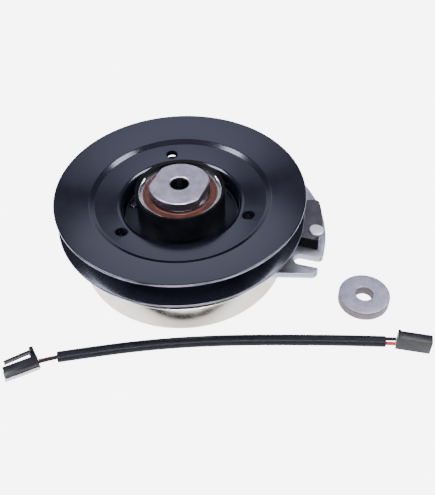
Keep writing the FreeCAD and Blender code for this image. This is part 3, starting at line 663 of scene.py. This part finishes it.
def looseWasher():
    w = washer
    piece = turnedPiece("looseWasher", [
        (w["hole"], 0, 0.4),
        (w["radius"], 0, w["edge"]),
        (w["radius"], w["thickness"], w["edge"]),
        (w["hole"], w["thickness"], 0.5),
    ], materials["washer_steel"], 160)
    piece.data.transform(Matrix.Translation((*w["spot"], 0)))
    fit(piece, "washer", "mounting_washer")


looseWasher()
print("shell and washer")


# a merged copy of a CAD piece whose sharp edges are broken
def softened(name, node, body, width, segments=2, angle=28, material=None, change=None):
    source = frame["nodes"][node]
    shape = bmesh.new()
    shape.from_mesh(source.data)
    bmesh.ops.remove_doubles(shape, verts=shape.verts, dist=0.000004)
    if change:
        change(shape)
    bmesh.ops.dissolve_limit(shape, angle_limit=math.radians(0.6), verts=shape.verts, edges=shape.edges)
    sharp = [edge for edge in shape.edges if len(edge.link_faces) == 2
             and edge.calc_face_angle(0) > math.radians(angle)]
    bmesh.ops.bevel(shape, geom=sharp, offset=width, offset_type="OFFSET", segments=segments, profile=0.5,
                    affect="EDGES", clamp_overlap=True)
    mesh = bpy.data.meshes.new(name)
    shape.to_mesh(mesh)
    shape.free()
    mesh.materials.append(material or materials[slotOf[node]])
    piece = bpy.data.objects.new(name, mesh)
    bpy.context.collection.objects.link(piece)
    smooth(piece, 40)
    return fit(piece, body, node)


# the latch lever is thinner than its solid: its underside is lifted beyond the bridge
lever = {"spot": (-0.0956, -0.0870), "heading": 199.5, "from": 0.0042, "behind": -0.0055, "under": 0.0020,
         "lifted": 0.0042}


def slimLever(shape):
    turn = Matrix.Rotation(math.radians(lever["heading"]), 3, "Z")
    start = Vector((*lever["spot"], 0))
    along = turn @ Vector((1, 0, 0))
    bmesh.ops.bisect_plane(shape, geom=shape.verts[:] + shape.edges[:] + shape.faces[:], dist=0.000001,
                           plane_co=start + along * lever["from"], plane_no=along)
    back = turn.transposed()
    for vert in shape.verts:
        local = back @ (vert.co - start)
        if local.x > lever["from"] - 0.0001 and local.y < lever["behind"] and local.z < lever["under"]:
            vert.co.z = lever["lifted"]


softened("torqueArm", "torque_plate", "field", 0.0005, 3, material=armZinc)
softened("brakePlate", "brake_plate", "field", 0.0004, 2)
softened("brakeBlock", "brake_spacer", "field", 0.0005, 2)
softened("coilConnector", "coil_connector", "field", 0.0005, 2)
softened("hubDisc", "hub_sleeve", "hub", 0.0006, 3)
plugs = [
    softened("latchPlug", "latch_plug", "adapter_lead", 0.0004, 2, change=slimLever),
    softened("latchRetainer", "latch_plug_retainer", "adapter_lead", 0.00025, 2),
    softened("harnessConnector", "harness_connector", "adapter_lead", 0.0008, 3),
]
print("plates and plugs")


# rivets: one turned shape set on each spot
rivets = {
    "brake": {"spots": [(0.0875, -0.0248), (0.0765, -0.0050)], "node": "brake_rivets", "body": "field",
              "metal": rivetHead,
              "outline": [(0, 18.8, 0), (3.4, 18.8, 0.5), (3.4, 20.2, 0), (2.6, 20.2, 0), (2.6, 36.7, 0),
                          (4.7, 36.7, 0.2), (4.7, 37.9, 0.6), (0, 37.9, 0)]},
    "armature": {"circle": 0.0474, "start": 94.5, "node": "armature_rivets", "body": "armature",
                 "outline": [(0, 30.6, 0), (2.5, 30.6, 0), (2.5, 37.2, 0), (3.0, 37.2, 0.2), (3.0, 38.7, 0.6),
                             (0, 38.7, 0)]},
    "spring": {"circle": 0.034, "start": 40.5, "node": "leaf_spring_rivets", "body": "pulley",
               "outline": [(0, 35.8, 0), (3.0, 35.8, 0.3), (3.0, 36.7, 0), (2.0, 36.7, 0), (2.0, 39.2, 0),
                           (3.4, 39.2, 0.1), (3.4, 40.6, 0.6), (0, 40.6, 0)]},
}


def rivetSet(name, facts):
    metal = facts.get("metal") or materials[slotOf[facts["node"]]]
    shape = turnedPiece(name + "Rivet", facts["outline"], metal, 48)
    spots = facts.get("spots") or [
        (facts["circle"] * math.cos(math.radians(facts["start"] + 120 * step)),
         facts["circle"] * math.sin(math.radians(facts["start"] + 120 * step))) for step in range(3)]
    piece = startPiece(name + "Rivets", [(x, y, 0) for x, y in spots], [])
    grow(piece, trees["set"], {"Shape": shape, "Material": metal})
    bpy.data.objects.remove(shape)
    smooth(piece, 32)
    fit(piece, facts["body"], facts["node"])


for name, facts in rivets.items():
    rivetSet(name, facts)
print("rivets")


# studio: two floors, bands of light by the sine of their height, two side boxes and a front one
studio = {
    "floor": "f6f6f8",
    "floorGlow": 0.75,
    "whiteGlow": 6.0,
    "reach": 4.0,
    "cast": "eff1ff",
    "side": 0.17,
    "front": 0.46,
    "bands": [(0.0, 0.35), (0.12, 0.5), (0.3, 1.4), (0.55, 1.45), (0.61, 0.46), (0.655, 0.14), (0.70, 0.17), (0.745, 0.92),
              (0.79, 1.45), (0.88, 1.96), (0.93, 1.85), (0.955, 0.17), (1.0, 0.05)],
    "boxes": [
        ("leftBox", (-0.775, -0.025, 1.0), 0.65, 0.65, 23, 0),
        ("rightBox", (0.66, -0.025, 1.0), 0.48, 0.65, 16, 0),
        ("frontBox", (0.0, -1.1, 0.9), 0.9, 0.25, 26, 50.7),
    ],
}


# the floor is laid twice: one the camera sees as white paper, one that lights and mirrors in the pieces
def floor(name, glow, seen, below):
    reach = studio["reach"]
    piece = startPiece(name, [(-reach, -reach, 0), (reach, -reach, 0), (reach, reach, 0), (-reach, reach, 0)],
                       [], [(0, 1, 2, 3)])
    material = startMaterial(name, {
        "Base Color": linear(studio["floor"]), "Roughness": 0.8, "Specular IOR Level": 0.1,
        "Emission Color": (1, 1, 1, 1), "Emission Strength": glow})[0]
    piece.data.materials.append(material)
    piece.data.transform(Matrix.Translation((0, 0, -below)))
    piece.visible_camera = seen
    piece.visible_diffuse = not seen
    piece.visible_glossy = not seen
    piece.visible_transmission = not seen
    piece.visible_shadow = not seen


def softbox(name, place, width, depth, power, lean):
    data = bpy.data.lights.new(name, "AREA")
    data.shape = "RECTANGLE"
    data.size = width
    data.size_y = depth
    data.energy = power
    lamp = bpy.data.objects.new(name, data)
    bpy.context.collection.objects.link(lamp)
    lamp.location = place
    lamp.rotation_euler = (math.radians(lean), 0, 0)


# the room's light by direction: bands by height in front of the camera, and darker sides
def room():
    world = bpy.data.worlds.new("room")
    bpy.context.scene.world = world
    world.use_nodes = True
    tree = world.node_tree
    background = tree.nodes["Background"]
    way = addNode(tree, "ShaderNodeSeparateXYZ", None, None,
                  {"Vector": tree.nodes.new("ShaderNodeTexCoord").outputs["Generated"]}).outputs
    ramp = addNode(tree, "ShaderNodeValToRGB", None, None, {"Fac": way["Z"]})
    stops = ramp.color_ramp.elements
    for place, (height, level) in enumerate(studio["bands"]):
        stop = stops[place] if place < 1 else (stops.new(height) if height < 1.0 else stops[len(stops) - 1])
        stop.position = height
        stop.color = (level / 2, level / 2, level / 2, 1)
    bands = calculate(tree, "MULTIPLY", ramp.outputs["Color"], 2.0)
    flat = calculate(tree, "SQRT", calculate(tree, "ADD", calculate(tree, "MULTIPLY", way["X"], way["X"]),
                                             calculate(tree, "MULTIPLY", way["Y"], way["Y"])))
    facing = calculate(tree, "DIVIDE", way["Y"], calculate(tree, "MAXIMUM", flat, 0.001))
    mask = spread(tree, facing, 0.0, 1.0, 0.78, 0.92)
    away = spread(tree, facing, studio["front"], studio["side"], -0.9, 0.1)
    level = addNode(tree, "ShaderNodeMix", {"data_type": "FLOAT"})
    tree.links.new(mask, level.inputs[0])
    tree.links.new(away, level.inputs[2])
    tree.links.new(bands, level.inputs[3])
    tree.links.new(level.outputs[0], background.inputs["Strength"])
    background.inputs["Color"].default_value = linear(studio["cast"])


floor("lightFloor", studio["floorGlow"], False, 0.0002)
floor("whiteFloor", studio["whiteGlow"], True, 0.0004)
room()
for facts in studio["boxes"]:
    softbox(*facts)
print("stage")
